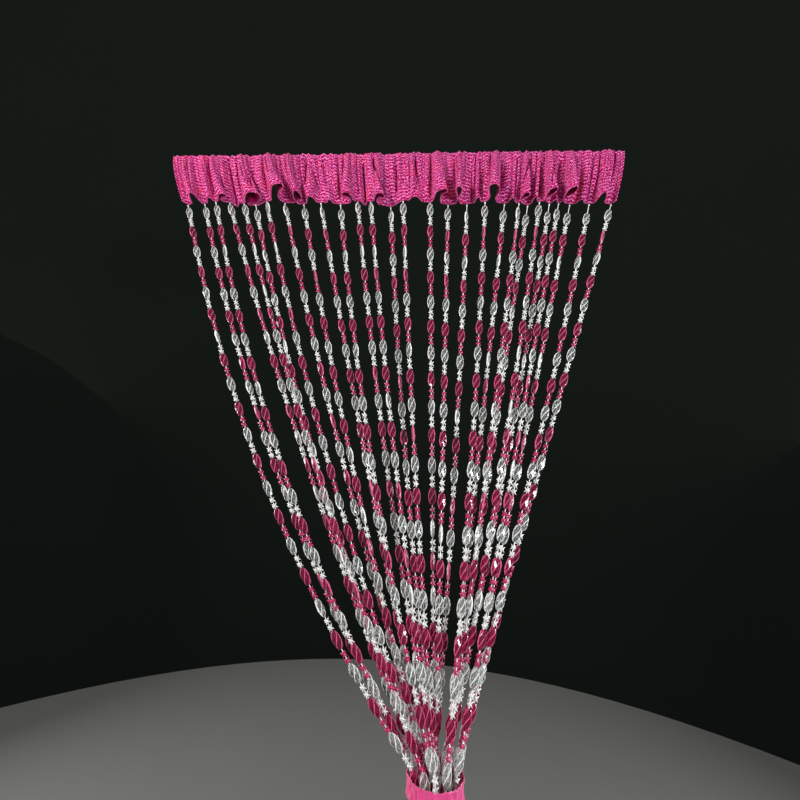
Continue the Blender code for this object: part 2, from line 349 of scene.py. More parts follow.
def lengths_along(points):
    """Return each point's distance along a line of points: the running sum of its steps."""
    steps = np.linalg.norm(np.diff(points, axis=0), axis=1)
    return np.concatenate([[0.0], np.cumsum(steps)])


def at_lengths(points, along, wanted):
    """Return the points at the wanted distances along a line, read by straight steps."""
    return np.stack([np.interp(wanted, along, points[:, axis]) for axis in range(points.shape[1])], axis=1)


def unit_vectors(vectors):
    """Divide each vector by its length."""
    return vectors / np.linalg.norm(vectors, axis=-1, keepdims=True)


def smooth_line(corners, per_span):
    """Return a smooth line through the corners, with per_span points on each span.

    The knots are apart by the square root of the corners' distance. On each span the line is the
    cubic with the span's two ends and the two end slopes, and a corner's slope is the mean of its
    two neighbouring spans' slopes, each weighed by the other span's knot distance.
    """
    corners = np.asarray(corners, dtype=float)
    knots = np.concatenate([[0.0], np.cumsum(np.sqrt(np.linalg.norm(np.diff(corners, axis=0), axis=1)))])
    gap = np.diff(knots)[:, None]
    slope = np.diff(corners, axis=0) / gap
    inner = (slope[1:] * gap[:-1] + slope[:-1] * gap[1:]) / (gap[1:] + gap[:-1])
    tangent = np.concatenate([slope[:1], inner, slope[-1:]])
    share = (np.arange(per_span) / per_span)[None, :, None]
    start, end = corners[:-1, None], corners[1:, None]
    first, second = tangent[:-1, None] * gap[:, None], tangent[1:, None] * gap[:, None]
    cubic = (
        start * (2 * share**3 - 3 * share**2 + 1)
        + first * (share**3 - 2 * share**2 + share)
        + end * (3 * share**2 - 2 * share**3)
        + second * (share**3 - share**2)
    )
    return np.concatenate([cubic.reshape(-1, corners.shape[1]), corners[-1:]])


def grid_faces(rows, columns, wrap=False):
    """Return the four-sided faces between neighbouring rows and columns of a grid of points."""
    across = np.arange(columns if wrap else columns - 1)
    after = (across + 1) % columns
    down = np.arange(rows - 1)[:, None] * columns
    faces = np.stack([down + across, down + columns + across, down + columns + after, down + after], axis=2)
    return faces.reshape(-1, 4)


def tube(line, half_width, half_depth, sides, side_hint):
    """Carry an ellipse along a line.

    At each point the ellipse lies square to the line: its width follows the side hint, less the
    hint's part along the line, and its depth is square to both.
    """
    along = unit_vectors(np.gradient(line, axis=0))
    hint = np.broadcast_to(side_hint, along.shape)
    wide = unit_vectors(hint - (hint * along).sum(1, keepdims=True) * along)
    deep = np.cross(along, wide)
    turn = 2 * np.pi * np.arange(sides) / sides
    out = np.cos(turn)[None, :, None] * wide[:, None] * half_width
    out = out + np.sin(turn)[None, :, None] * deep[:, None] * half_depth
    return line[:, None] + out


def joined(parts):
    """Join a list of point and face arrays into one point array and one face array."""
    points, faces, first = [], [], 0
    for part_points, part_faces in parts:
        points.append(part_points)
        faces.append(part_faces + first)
        first += len(part_points)
    return np.concatenate(points), np.concatenate(faces)


def make_mesh(name, points, quads, caps=(), material=None):
    """Put points, four-sided faces and cap faces into a new object, with its normals pointing out."""
    mesh = bpy.data.meshes.new(name)
    corners = np.concatenate([quads.ravel(), *[cap.ravel() for cap in caps]]).astype(np.int32)
    face_sizes = [np.full(len(quads), 4)] + [np.full(len(cap), cap.shape[1]) for cap in caps]
    counts = np.concatenate(face_sizes).astype(np.int32)
    mesh.vertices.add(len(points))
    mesh.vertices.foreach_set("co", points.astype(np.float32).ravel())
    mesh.loops.add(len(corners))
    mesh.loops.foreach_set("vertex_index", corners)
    mesh.polygons.add(len(counts))
    mesh.polygons.foreach_set("loop_start", (np.cumsum(counts) - counts).astype(np.int32))
    mesh.update(calc_edges=True)
    mesh.validate()
    if material:
        mesh.materials.append(material)
    thing = bpy.data.objects.new(name, mesh)
    bpy.context.scene.collection.objects.link(thing)
    return thing


def add_uv(mesh, point_uv):
    """Give the mesh a UV map from a pair of values for each point."""
    index = np.empty(len(mesh.loops), dtype=np.int32)
    mesh.loops.foreach_get("vertex_index", index)
    layer = mesh.uv_layers.new(name="Cloth")
    layer.data.foreach_set("uv", point_uv[index].astype(np.float32).ravel())


# The heading


def bay_points(first, second):
    """Return the hem's plan points, in millimetres, from one root up to the next."""
    points = [(first.x, first.y)]
    for across, out in BENDS[first.bend]:
        x = first.middle + across * first.half
        line = first.y + (second.y - first.y) * np.clip((x - first.x) / (second.x - first.x), 0, 1)
        points.append((x, line - out * first.out))
    return points


def hem_plan(spacing):
    """Return the hem's plan at an even spacing, its distances, and the roots' distances, in metres."""
    corners = [HEM_LEFT]
    root_corners = []
    for first, second in zip(STRANDS, STRANDS[1:]):
        root_corners.append(len(corners))
        corners += bay_points(first, second)
    root_corners.append(len(corners))
    corners += [(STRANDS[-1].x, STRANDS[-1].y), HEM_RIGHT]
    per_span = 24
    line = smooth_line(corners, per_span) * MM
    along = lengths_along(line)
    even = np.linspace(0, along[-1], round(along[-1] / spacing) + 1)
    return at_lengths(line, along, even), even, along[np.array(root_corners) * per_span]


def hem_height(y):
    """Return the hem's height where it swings out by y: the cloth keeps its length, so it rises."""
    height = sizes().heading_height
    return -height + y * y / (2 * height)


def puff(wave):
    """A gather's section: broad towards the front and narrow at the back, between -1 and 1."""
    forward = np.abs(np.cos((wave - 1.5 * np.pi) / 2))
    return 1 - 2 * forward**PUFF


def crease_depth(crease, x, y, depth):
    """Return how far back a crease sets the cloth's points at x, y and depth below the top edge."""
    below = depth / MM
    run = np.clip((below - crease.drop) / (crease.low_drop - crease.drop), 0, 1)
    middle = (crease.x + (crease.low_x - crease.x) * run) * MM
    reach = np.clip((below - crease.drop + CREASE_UPPER_FADE) / CREASE_UPPER_FADE, 0, 1)
    reach = reach * np.clip((crease.low_drop + CREASE_LOWER_FADE - below) / CREASE_LOWER_FADE, 0, 1)
    bell = np.exp(-np.abs((x - middle) / (CREASE_NARROWING * crease.half * MM)) ** CREASE_POINT)
    front = np.clip(CREASE_AT_LINE - y / (CREASE_BACK_FADE * MM), 0.0, 1.0)
    return CREASE_SCALE * crease.depth * MM * bell * reach * front


def heading_surface(drops, spacing):
    """Return the heading's surface as rows of points, and the cloth's own lengths along and down.

    Its two parameters are the distance along the hem and the share of the drop. From the hem's
    plan up to the top edge the folds shrink to a share of their depth, their sideways laps open
    out, and small uneven gathers grow. The main creases are troughs with a pointed section.
    """
    hem, along, roots = hem_plan(spacing)
    ends = np.concatenate([[0.0], roots, along[-1:]])
    end_x = np.concatenate([[HEM_LEFT[0]], [s.x for s in STRANDS], [HEM_RIGHT[0]]]) * MM
    even_x = np.interp(along, ends, end_x)
    top_x = even_x + PULL * (even_x - TIE_CENTRE_X)
    share_along = (even_x - even_x[0]) / (even_x[-1] - even_x[0])
    uneven = GATHER_UNEVEN * np.sin(2 * np.pi * UNEVEN_WAVES * share_along)
    wave = 2 * np.pi * (GATHER_WAVES * share_along + uneven)
    fine = puff(FINE_RATE * wave + FINE_SHIFT)
    gather_y = sizes().gather_depth * (puff(wave) + FINE_SHARE * fine)
    top_z = HEAD_RISE * np.sin(RISE_RATE * wave)

    drop = drops[:, None]
    share = drop**HEM_START
    fold = TOP_FOLD_SHARE + (1 - TOP_FOLD_SHARE) * share
    x = top_x + (hem[:, 0] - top_x) * share
    swell = EDGE_DEPTH_SHARE + (1 - EDGE_DEPTH_SHARE) * (1 - np.exp(-drop / EDGE_DROP))
    y = (hem[:, 1] * fold + gather_y * (1 - drop**GATHER_FADE)) * swell
    scallop = TOP_SCALLOP * np.cos(FINE_RATE * wave) * np.exp(-drop / SCALLOP_DROP)
    z = top_z * (1 - share) + scallop + hem_height(hem[:, 1]) * drop
    depth = drop * sizes().heading_height
    for crease in CREASES:
        y = y + crease_depth(crease, x, y, depth)
    points = np.stack([x, y, z], axis=2)
    cloth = np.stack(np.broadcast_arrays(along[None, :], -depth), axis=2)
    return points, cloth, along[-1]


def build_heading():
    """Make the cloth heading with its overlocked hem."""
    row_count, spacing = 30, 0.0014
    points, cloth, cut_width = heading_surface(np.linspace(0, 1, row_count), spacing)
    columns = points.shape[1]
    heading = make_mesh(
        "heading_cloth", points.reshape(-1, 3), grid_faces(row_count, columns), material=cloth_material()
    )
    # The second material, the darker reverse, goes on the cloth's inner side: painted shade inside the
    # folds.
    heading.data.materials.append(shaded_reverse_material())
    add_uv(heading.data, cloth.reshape(-1, 2))
    heading.data.shade_smooth()
    wall = heading.modifiers.new("Cloth thickness", "SOLIDIFY")
    wall.thickness = sizes().cloth_thickness
    wall.offset = 0.0
    wall.material_offset = 1

    stitches = build_stitches()
    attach(heading, "root")
    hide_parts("heading")
    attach(stitches, "root")


def build_stitches():
    """Make the overlock thread: a thread wound round the cloth's edge all along the hem.

    Its line circles the hem's line once a stitch, in an ellipse that is wide down the cloth and
    narrow through it.
    """
    pitch, per_stitch = 0.0030, 6
    half_through, half_down, rise, thread_radius = 0.0010, 0.0015, 0.0010, 0.0005
    hem, along, _ = hem_plan(pitch / per_stitch)
    edge = np.stack([hem[:, 0], hem[:, 1], hem_height(hem[:, 1])], axis=1)
    tangent = unit_vectors(np.gradient(edge, axis=0))
    side = unit_vectors(np.stack([-tangent[:, 1], tangent[:, 0], np.zeros(len(edge))], axis=1))
    turn = 2 * np.pi * along / pitch
    down = np.array([0.0, 0.0, -1.0])
    wound = edge + np.sin(turn)[:, None] * side * half_through
    wound = wound + (np.cos(turn)[:, None] * half_down - rise) * down
    rings = tube(wound, thread_radius, thread_radius, 4, down + side * 0.3)
    stitches = make_mesh(
        "hem_stitches", rings.reshape(-1, 3), grid_faces(len(wound), 4, wrap=True),
        caps=[end_caps(len(wound), 4)], material=stitch_material(),
    )
    stitches.data.shade_smooth()
    return stitches


def end_caps(rings, sides, first=0):
    """Return the two faces that close a tube's ends."""
    ring = np.arange(sides)
    return np.stack([ring[::-1] + first, ring + (rings - 1) * sides + first])[:, ::-1]


# The strands


def bundle_slots():
    """Return each strand's x and y in the tied bundle, column by column.

    Neighbours take every other row of their column, so strands run side by side without crossing.
    """
    slots = []
    middle = (len(SLOT_ROWS) - 1) / 2
    for column, rows in enumerate(SLOT_ROWS):
        for index in range(rows):
            row = index // 2 if index % 2 == 0 else (rows + index) // 2
            x = TIE_CENTRE_X + (column - middle) * SLOT_PITCH_X
            y = (row - (rows - 1) / 2) * SLOT_PITCH_Y
            slots.append((x, y))
    return slots


def strand_line(strand, slot):
    """Return a strand's line at even steps, from its root in the hem to its lower end.

    Down to where the strands meet, x follows a logarithm of the height and y runs straight. From
    there the strand hangs straight and the bundle spreads a little. A running mean of the points
    then rounds the bend between the two.
    """
    lean_points, tail_points = 240, 160
    root_x, root_y = strand.x * MM, strand.y * MM
    root_z = hem_height(root_y) - STRIP_GAP - STRIP_HEIGHT / 2
    height = np.linspace(1, 0, lean_points)
    lean = np.log1p(strand.sag * height) / np.log1p(strand.sag)
    x = slot[0] + (root_x - slot[0]) * lean
    y = slot[1] + (root_y - slot[1]) * height
    z = -MEET_DROP + (root_z + MEET_DROP) * height
    slanting = np.stack([x, y, z], axis=1)
    tail = sizes().strand_length - lengths_along(slanting)[-1]
    share = np.linspace(0, 1, tail_points)[1:]
    spread = 1 + (TAIL_SPREAD - 1) * share
    x = TIE_CENTRE_X + (slot[0] - TIE_CENTRE_X) * spread
    hanging = np.stack([x, slot[1] * spread, -MEET_DROP - tail * share], axis=1)
    line = np.concatenate([slanting, hanging])
    along = lengths_along(line)
    line = at_lengths(line, along, np.arange(0, along[-1], LINE_STEP))
    half = EASE_STEPS // 2
    padded = np.concatenate([line[:1].repeat(half, 0), line, line[-1:].repeat(half, 0)])
    window = np.ones(EASE_STEPS) / EASE_STEPS
    eased = np.stack([np.convolve(padded[:, axis], window, "valid") for axis in range(3)], axis=1)
    eased[:half], eased[-half:] = line[:half], line[-half:]
    return eased


def bead_places():
    """Return the places, directions and turns of all beads, by kind.

    Down each strand the beads come in units of one oval and two stars, clear and white in turn
    with pink. A bead's turn about its thread is random, and it shrinks to its least share in the
    last stretch above the tie, where the flat faces settle side by side.
    """
    random = np.random.default_rng(sizes().seed)
    star_gap, unit_gap = 0.0015, 0.0008
    settled_rise, settling, least_turn = 0.06, 0.2, 0.06
    unit, oval, star = sizes().unit_length, sizes().oval_length, sizes().star_height
    star_step = star + star_gap
    first_star = unit - star_step - star / 2 - unit_gap
    beads = (("oval", oval / 2), ("star", first_star), ("star", first_star + star_step))
    found = {"oval": [], "star": []}
    for strand, slot in zip(STRANDS, bundle_slots()):
        line = strand_line(strand, slot)
        along = lengths_along(line)
        tangent = unit_vectors(np.gradient(line, axis=0))
        start = strand.gap * MM + STRIP_HEIGHT / 2
        count = int((along[-1] - start) / unit)
        units = np.arange(count)
        begin = start + units * unit
        for kind, middle in beads:
            place = at_lengths(line, along, begin + middle)
            way = unit_vectors(at_lengths(tangent, along, begin + middle))
            turn = np.pi / 2 * random.uniform(-1, 1, count) ** 3
            free = np.clip((place[:, 2] + MEET_DROP - settled_rise) / settling, least_turn, 1.0)
            found[kind].append(np.column_stack([place, way, turn * free, units % 2]))
    return {kind: np.concatenate(rows) for kind, rows in found.items()}


def set_beads(name, pattern, rows, material):
    """Copy a bead pattern to every row of places, as one mesh.

    The pattern's z follows the thread. Its x starts out along the curtain's width, less its part
    along the thread, and is then turned about the thread.
    """
    points, quads, caps, uv = pattern
    place, way, turn = rows[:, :3], -rows[:, 3:6], rows[:, 6:7]
    right = np.array([1.0, 0.0, 0.0])
    side = unit_vectors(right - (way @ right)[:, None] * way)
    back = np.cross(way, side)
    across = side * np.cos(turn) + back * np.sin(turn)
    deep = np.cross(way, across)
    placed = (
        place[:, None]
        + points[None, :, 0:1] * across[:, None]
        + points[None, :, 1:2] * deep[:, None]
        + points[None, :, 2:3] * way[:, None]
    )
    first = (np.arange(len(rows)) * len(points))[:, None, None]
    beads = make_mesh(
        name, placed.reshape(-1, 3), (quads[None] + first).reshape(-1, 4),
        caps=[(caps[None] + first).reshape(-1, caps.shape[1])], material=material,
    )
    layer = beads.data.uv_layers.new(name="Bead")
    cap_uv = np.zeros((len(rows) * caps.size, 2))
    all_uv = np.concatenate([np.tile(uv.reshape(-1, 2), (len(rows), 1)), cap_uv])
    layer.data.foreach_set("uv", all_uv.astype(np.float32).ravel())
    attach(beads, "root")
    return beads


def quad_values(values, sides):
    """Return a value for each corner of a wrapped grid's faces, from rows of sides + 1 values."""
    left, right = values[:, :-1], values[:, 1:]
    corners = np.stack([left[:-1], left[1:], right[1:], right[:-1]], axis=2)
    return corners.reshape(-1, 4)


def oval_pattern():
    """Return the oval bead: a flat oval with four ridges that wind about it.

    At each height the section is an ellipse, and its size follows a circle's arc from end to end.
    Every other one of the section's eight corners is drawn in, which leaves flutes between the
    ridges. The corners run on round the ellipse with the height, so each ridge is a long slant
    across one face, and the clear bead shows the far face's ridges slanting the other way. In the
    UV map u counts half turns round the ellipse and v counts ridges.
    """
    sides, winding, flute = 8, 1.35, 0.93
    end_size, roundness, least_depth = 0.16, 0.9, 0.34
    height = np.array([-1.0, -0.9, -0.64, -0.24, 0.24, 0.64, 0.9, 1.0])[:, None]
    size = end_size + (1 - end_size) * np.sqrt(1 - height**2) ** roundness
    corner = np.arange(sides + 1)[None, :]
    turn = 2 * np.pi * corner / sides + winding * height
    reach = np.where(corner % 2 == 0, 1.0, flute)
    x = sizes().oval_width / 2 * size * reach * np.cos(turn)
    y = sizes().oval_thickness / 2 * np.maximum(size, least_depth) * reach * np.sin(turn)
    z = np.broadcast_to(height * sizes().oval_length / 2, x.shape)
    points = np.stack([x, y, z], axis=2)[:, :-1].reshape(-1, 3)
    rings = len(height)
    quads, caps = grid_faces(rings, sides, wrap=True)[:, ::-1], end_caps(rings, sides)[:, ::-1]
    round_ellipse = quad_values(turn / np.pi, sides)
    ridge_count = quad_values(np.broadcast_to(corner / 2, turn.shape), sides)
    return Pattern(points, quads, caps, np.stack([round_ellipse, ridge_count], axis=2)[:, ::-1])


def star_pattern():
    """Return the star bead: six spikes round the middle, with three pairs above and below them.

    Every other one of twelve corners is a spike's. Of these six, every other one has its point at
    mid height, and the others have one leaning up and one leaning down, so from the side it is a
    star too. In the UV map u is the share of the reach.
    """
    sides = 12
    corner = np.arange(sides)[None, :]
    paired, single = corner % 4 == 0, corner % 4 == 2
    half_height, reach = sizes().star_height / 2, sizes().star_width / 2
    body = np.array([0.22, 0.44, 0.40, 0.44, 0.22])[:, None] * reach
    level = np.array([0.66, 0.46, 0.0, -0.46, -0.66])[:, None] * half_height
    pair_reach = np.array([0.22, 1.0, 0.50, 1.0, 0.22])[:, None] * reach
    pair_level = np.array([0.66, 0.98, 0.0, -0.98, -0.66])[:, None] * half_height
    single_reach = np.array([0.22, 0.44, 0.90, 0.44, 0.22])[:, None] * reach
    radius = np.where(paired, pair_reach, np.where(single, single_reach, body))
    z = np.where(paired, pair_level, level)
    turn = 2 * np.pi * corner / sides
    points = np.stack([radius * np.cos(turn), radius * np.sin(turn), z], axis=2).reshape(-1, 3)
    rings = len(level)
    out = quad_values(np.concatenate([radius, radius[:, :1]], axis=1) / reach, sides)
    uv = np.stack([out, np.zeros_like(out)], axis=2)
    return Pattern(points, grid_faces(rings, sides, wrap=True), end_caps(rings, sides), uv)


def build_threads():
    """Make every strand's thread, from its knot at the hem to its knot under the last bead.

    The line has close points at both ends, where the knots swell it, and wide steps between.
    """
    sides, loose_end = 5, 0.004
    step, ends_reach, ends_clear, end_points = 0.012, 0.006, 0.008, 7
    knot_place, top_knot, top_swell, low_knot, low_swell = 0.002, 0.0013, 1.4, 0.0014, 1.6
    parts, caps, first = [], [], 0
    for strand, slot in zip(STRANDS, bundle_slots()):
        line = strand_line(strand, slot)
        along = lengths_along(line)
        end = strand.gap * MM + STRIP_HEIGHT / 2
        end += int((along[-1] - end) / sizes().unit_length) * sizes().unit_length
        end = min(end + loose_end, along[-1])
        wanted = np.unique(np.concatenate([
            np.linspace(0, ends_reach, end_points),
            np.arange(step, end - ends_clear, step),
            np.linspace(end - ends_reach, end, end_points),
        ]))
        points = at_lengths(line, along, wanted)
        knot = 1 + top_swell * np.exp(-(((wanted - knot_place) / top_knot) ** 2))
        knot = knot + low_swell * np.exp(-(((wanted - end + knot_place) / low_knot) ** 2))
        half = sizes().thread_width / 2 * knot[:, None, None]
        rings = tube(points, half[:, :, 0:1], half[:, :, 0:1], sides, np.array([1.0, 0.0, 0.0]))
        parts.append((rings.reshape(-1, 3), grid_faces(len(points), sides, wrap=True)))
        caps.append(end_caps(len(points), sides, first))
        first += len(points) * sides
    points, quads = joined(parts)
    caps = [np.concatenate(caps)]
    threads = make_mesh("threads", points, quads, caps=caps, material=thread_material())
    threads.data.shade_smooth()
    return threads


def build_strands():
    """Make the threads and their four kinds of bead."""
    threads = build_threads()
    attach(threads, "root")
    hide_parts("strands")
    places = bead_places()
    ovals, stars = places["oval"], places["star"]
    clear = set_beads("ovals_clear", oval_pattern(), ovals[ovals[:, 7] == 0], clear_material())
    pink = set_beads("ovals_pink", oval_pattern(), ovals[ovals[:, 7] == 1], pink_material())
    for beads in (clear, pink):
        beads.data.shade_smooth()
        beads.data.set_sharp_from_angle(angle=math.radians(22))
    set_beads("stars_white", star_pattern(), stars[stars[:, 7] == 0], white_star_material())
    set_beads("stars_pink", star_pattern(), stars[stars[:, 7] == 1], pink_star_material())


# The tie


def build_tie():
    """Make the tie: a soft closed band round the bundle.

    Its two parameters are the turn about the bundle and the height. The radius widens towards
    both edges, and small puckers, the sum of three waves, swell and fade round the band. A wave
    has its size, its count round the band, its slant and its start.
    """
    turns, levels, edge_wave, edge_waves = 240, 15, 0.0005, 9
    waves = ((0.0005, 23, 5, 0.0), (0.0004, 37, -3, 1.1), (0.0004, 11, 7, 0.4))
    turn = (2 * np.pi * np.arange(turns) / turns)[None, :]
    level = np.linspace(0.5, -0.5, levels)[:, None]
    flare = TIE_FLARE * (2 * np.abs(level)) ** 3
    pucker = sum(size * np.sin(count * turn + slant * level + start) for size, count, slant, start in waves)
    radius = TIE_INSIDE + TIE_HALF_WALL + flare + pucker
    x = TIE_CENTRE_X + radius * np.cos(turn)
    y = radius * np.sin(turn)
    z = -TIE_DROP + level * TIE_HEIGHT + edge_wave * np.sin(edge_waves * turn)
    points = np.stack([x, y, z], axis=2).reshape(-1, 3)
    tie = make_mesh("tie_band", points, grid_faces(levels, turns, wrap=True), material=satin_material())
    tie.data.shade_smooth()
    wall = tie.modifiers.new("Band thickness", "SOLIDIFY")
    wall.thickness = sizes().cloth_thickness
    wall.offset = 0.0
    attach(tie, "root")
    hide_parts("tie")


# Materials


def new_material(name):
    """Make a node material; return it, its node tree and its Principled shader."""
    material = bpy.data.materials.new(name)
    material.use_nodes = True
    tree = material.node_tree
    return material, tree, tree.nodes["Principled BSDF"]


def set_up(tree, node, settings):
    """Set a node's properties, and its inputs by name or number; another node's output is linked."""
    for name, value in settings.items():
        if isinstance(value, bpy.types.NodeSocket):
            tree.links.new(value, node.inputs[name])
        elif isinstance(name, str) and hasattr(node, name):
            setattr(node, name, value)
        else:
            node.inputs[name].default_value = value


def add_node(tree, kind, settings=None):
    """Add a shader node of a kind with its settings and links, and return its outputs."""
    node = tree.nodes.new("ShaderNode" + kind)
    set_up(tree, node, settings or {})
    return node.outputs


def cloth_material():
    """Woven glossy polyester: ribs of floating threads in rows, with a painted highlight on them and
    painted shade on the weave between.

    The rows run along the cloth and step up and down, and each row breaks into short dashes.
    """
    material, tree, shader = new_material("Woven glossy polyester")
    row_pitch, zigzag_pitch, zigzag_height, dash_length = 0.0084, 0.015, 0.0042, 0.0030
    slant, row_rate = 2 * zigzag_height / zigzag_pitch, 2 * math.pi / row_pitch
    uv = add_node(tree, "TexCoord")["UV"]
    # The rows wander over about 14 mm.
    drift = add_node(tree, "TexNoise", {"Vector": uv, "Scale": 70.0, "Detail": 1.0})["Color"]
    wander = {"operation": "MULTIPLY_ADD", 0: drift, 1: (0.010, 0.007, 0), 2: uv}
    wander = add_node(tree, "VectorMath", wander)[0]
    place = add_node(tree, "SeparateXYZ", {0: wander})
    zigzag = add_node(tree, "Math", {"operation": "PINGPONG", 0: place["X"], 1: zigzag_pitch / 2})[0]
    lifted = {"operation": "MULTIPLY_ADD", 0: zigzag, 1: slant, 2: place["Y"]}
    lifted = add_node(tree, "Math", lifted)[0]
    turns = add_node(tree, "Math", {"operation": "MULTIPLY", 0: lifted, 1: row_rate})[0]
    row = add_node(tree, "Math", {"operation": "SINE", 0: turns})[0]
    row = add_node(tree, "MapRange", {0: row, 1: -0.2, 2: 0.6})[0]
    turns = add_node(tree, "Math", {"operation": "MULTIPLY", 0: lifted, 1: 5 * row_rate})[0]
    fine = add_node(tree, "Math", {"operation": "SINE", 0: turns})[0]
    dashes = {"Vector": uv, "Scale": (1 / dash_length, 3 / row_pitch, 1.0)}
    dashes = {"Vector": add_node(tree, "Mapping", dashes)[0], "Scale": 1.0}
    dashes = add_node(tree, "TexNoise", {**dashes, "Detail": 3.0, "Roughness": 0.7})["Fac"]
    lit = add_node(tree, "Math", {"operation": "MULTIPLY_ADD", 0: row, 1: 0.11, 2: dashes})[0]

    # Redder patches about 40 mm across, and then three tones of thread: painted shade between the rows, the
    # cloth's own pink, and a painted highlight on the bright threads.
    patches = add_node(tree, "TexNoise", {"Vector": uv, "Scale": 26.0, "Detail": 2.0})["Fac"]
    warm = add_node(tree, "MapRange", {0: patches, 1: 0.54, 2: 0.72})[0]
    hue = {"data_type": "RGBA", 0: warm, 6: colours().cloth, 7: colours().cloth_warm}
    hue = add_node(tree, "Mix", hue)[2]
    # Painted shade: the dark tone between the rows.
    filled = add_node(tree, "MapRange", {0: lit, 1: 0.43, 2: 0.53})[0]
    ground = {"data_type": "RGBA", 0: filled, 6: colours().cloth_shade, 7: hue}
    ground = add_node(tree, "Mix", ground)[2]
    # Painted highlight: the pale glint along the rows.
    shine = add_node(tree, "MapRange", {0: lit, 1: 0.57, 2: 0.67})[0]
    tones = {"data_type": "RGBA", 0: shine, 6: ground, 7: colours().cloth_highlight}
    height = add_node(tree, "Math", {"operation": "MULTIPLY_ADD", 0: fine, 1: 0.10, 2: lit})[0]
    bumps = {"Height": height, "Strength": 0.8, "Distance": 0.0012}
    set_up(tree, shader, {
        "Base Color": add_node(tree, "Mix", tones)[2],
        "Roughness": add_node(tree, "MapRange", {0: shine, 3: 0.6, 4: 0.28})[0],
        "Specular IOR Level": add_node(tree, "MapRange", {0: shine, 3: 0.0, 4: 0.36})[0],
        "Normal": add_node(tree, "Bump", bumps)[0],
    })
    return material


def shaded_reverse_material():
    """The cloth's reverse, darker than the front: painted shade for the insides of the folds, in a plain
    weave without the bright threads that float on the front.

    Its threads are drawn 2.5 mm long and 1.1 mm apart, coarser than real ones, so that they show.
    """
    material, tree, shader = new_material("Woven polyester reverse")
    uv = add_node(tree, "TexCoord")["UV"]
    stretched = add_node(tree, "Mapping", {"Vector": uv, "Scale": (400.0, 900.0, 1.0)})[0]
    weave = {"Vector": stretched, "Scale": 1.0, "Detail": 2.0}
    weave = add_node(tree, "TexNoise", weave)["Fac"]
    filled = add_node(tree, "MapRange", {0: weave, 1: 0.36, 2: 0.58, 3: 0.3})[0]
    tones = {"data_type": "RGBA", 0: filled, 6: colours().cloth_shade, 7: colours().cloth}
    bumps = {"Height": weave, "Strength": 0.5, "Distance": 0.0003}
    set_up(tree, shader, {
        "Base Color": add_node(tree, "Mix", tones)[2],
        "Roughness": 0.7,
        "Specular IOR Level": 0.25,
        "Normal": add_node(tree, "Bump", bumps)[0],
    })
    return material


def stitch_material():
    """Matt spun polyester thread, paler than the cloth, with fuzz about 1 mm long."""
    material, tree, shader = new_material("Spun polyester overlock thread")
    place = add_node(tree, "TexCoord")["Object"]
    fuzz = add_node(tree, "TexNoise", {"Vector": place, "Scale": 900.0, "Detail": 2.0})["Fac"]
    tones = {"data_type": "RGBA", 0: fuzz, 6: colours().cloth, 7: colours().stitches}
    set_up(tree, shader, {"Base Color": add_node(tree, "Mix", tones)[2], "Roughness": 0.65})
    return material


def near_whole(tree, value, full, none):
    """Return 1 where a value is within full of a whole number, fading to 0 at none."""
    off = add_node(tree, "Math", {"operation": "PINGPONG", 0: value, 1: 0.5})[0]
    return add_node(tree, "MapRange", {0: off, 1: full, 2: none, 3: 1.0, 4: 0.0})[0]


def acrylic_material(name, colour, ridge_highlight_colour, clearness):
    """Moulded acrylic: a clear body whose ridges and rim show as pale, rougher, less clear lines, painted
    highlights.
    """
    material, tree, shader = new_material(name)
    uv = add_node(tree, "TexCoord")["UV"]
    split = add_node(tree, "SeparateXYZ", {0: uv})
    # Painted highlight: pale lines along the rim and the ridges, which are also less clear and rougher.
    rim = near_whole(tree, split["X"], 0.10, 0.18)
    ridge = near_whole(tree, split["Y"], 0.03, 0.11)
    line = add_node(tree, "Math", {"operation": "MAXIMUM", 0: rim, 1: ridge})[0]
    tones = {"data_type": "RGBA", 0: line, 6: colour, 7: ridge_highlight_colour}
    set_up(tree, shader, {
        "Base Color": add_node(tree, "Mix", tones)[2],
        "Transmission Weight": add_node(tree, "MapRange", {0: line, 3: clearness, 4: 0.15})[0],
        "Roughness": add_node(tree, "MapRange", {0: line, 3: 0.08, 4: 0.35})[0],
        "IOR": 1.49,
    })
    return material


def clear_material():
    """Clear acrylic: painted highlights as bright lines on its edges and ridges, and what lies behind shows
    through.
    """
    # The white star's colour serves as the painted highlight on the clear beads' ridges and rim.
    return acrylic_material("Moulded clear acrylic", colours().clear_bead, colours().white_star, 0.94)


def pink_material():
    """Pink transparent acrylic: deep pink through its middle, with a pale painted highlight on its ridges
    and rim.
    """
    return acrylic_material("Moulded pink acrylic", colours().pink_bead, colours().pink_ridge_highlight, 0.88)


def plastic_material(name, colour, hollow_shade_colour):
    """Moulded polystyrene: its own colour on every spike and painted shade, a darker colour, in the
    hollows, with 2.5 mm flow marks.
    """
    material, tree, shader = new_material(name)
    place = add_node(tree, "TexCoord")
    flow = {"Vector": place["Object"], "Scale": 400.0, "Detail": 2.0}
    flow = add_node(tree, "TexNoise", flow)["Fac"]
    reach = add_node(tree, "SeparateXYZ", {0: place["UV"]})["X"]
    # Painted shade: the hollows between the spikes take the darker colour.
    spike = add_node(tree, "MapRange", {0: reach, 1: 0.40, 2: 0.74})[0]
    tones = {"data_type": "RGBA", 0: spike, 6: hollow_shade_colour, 7: colour}
    set_up(tree, shader, {
        "Base Color": add_node(tree, "Mix", tones)[2],
        "Roughness": add_node(tree, "MapRange", {0: flow, 3: 0.24, 4: 0.38})[0],
        "Coat Weight": 0.4,
        "Coat Roughness": 0.12,
    })
    return material


def white_star_material():
    """White polystyrene, bright on every spike, with painted shade in the hollows."""
    return plastic_material("Moulded white polystyrene", colours().white_star, colours().white_hollow_shade)


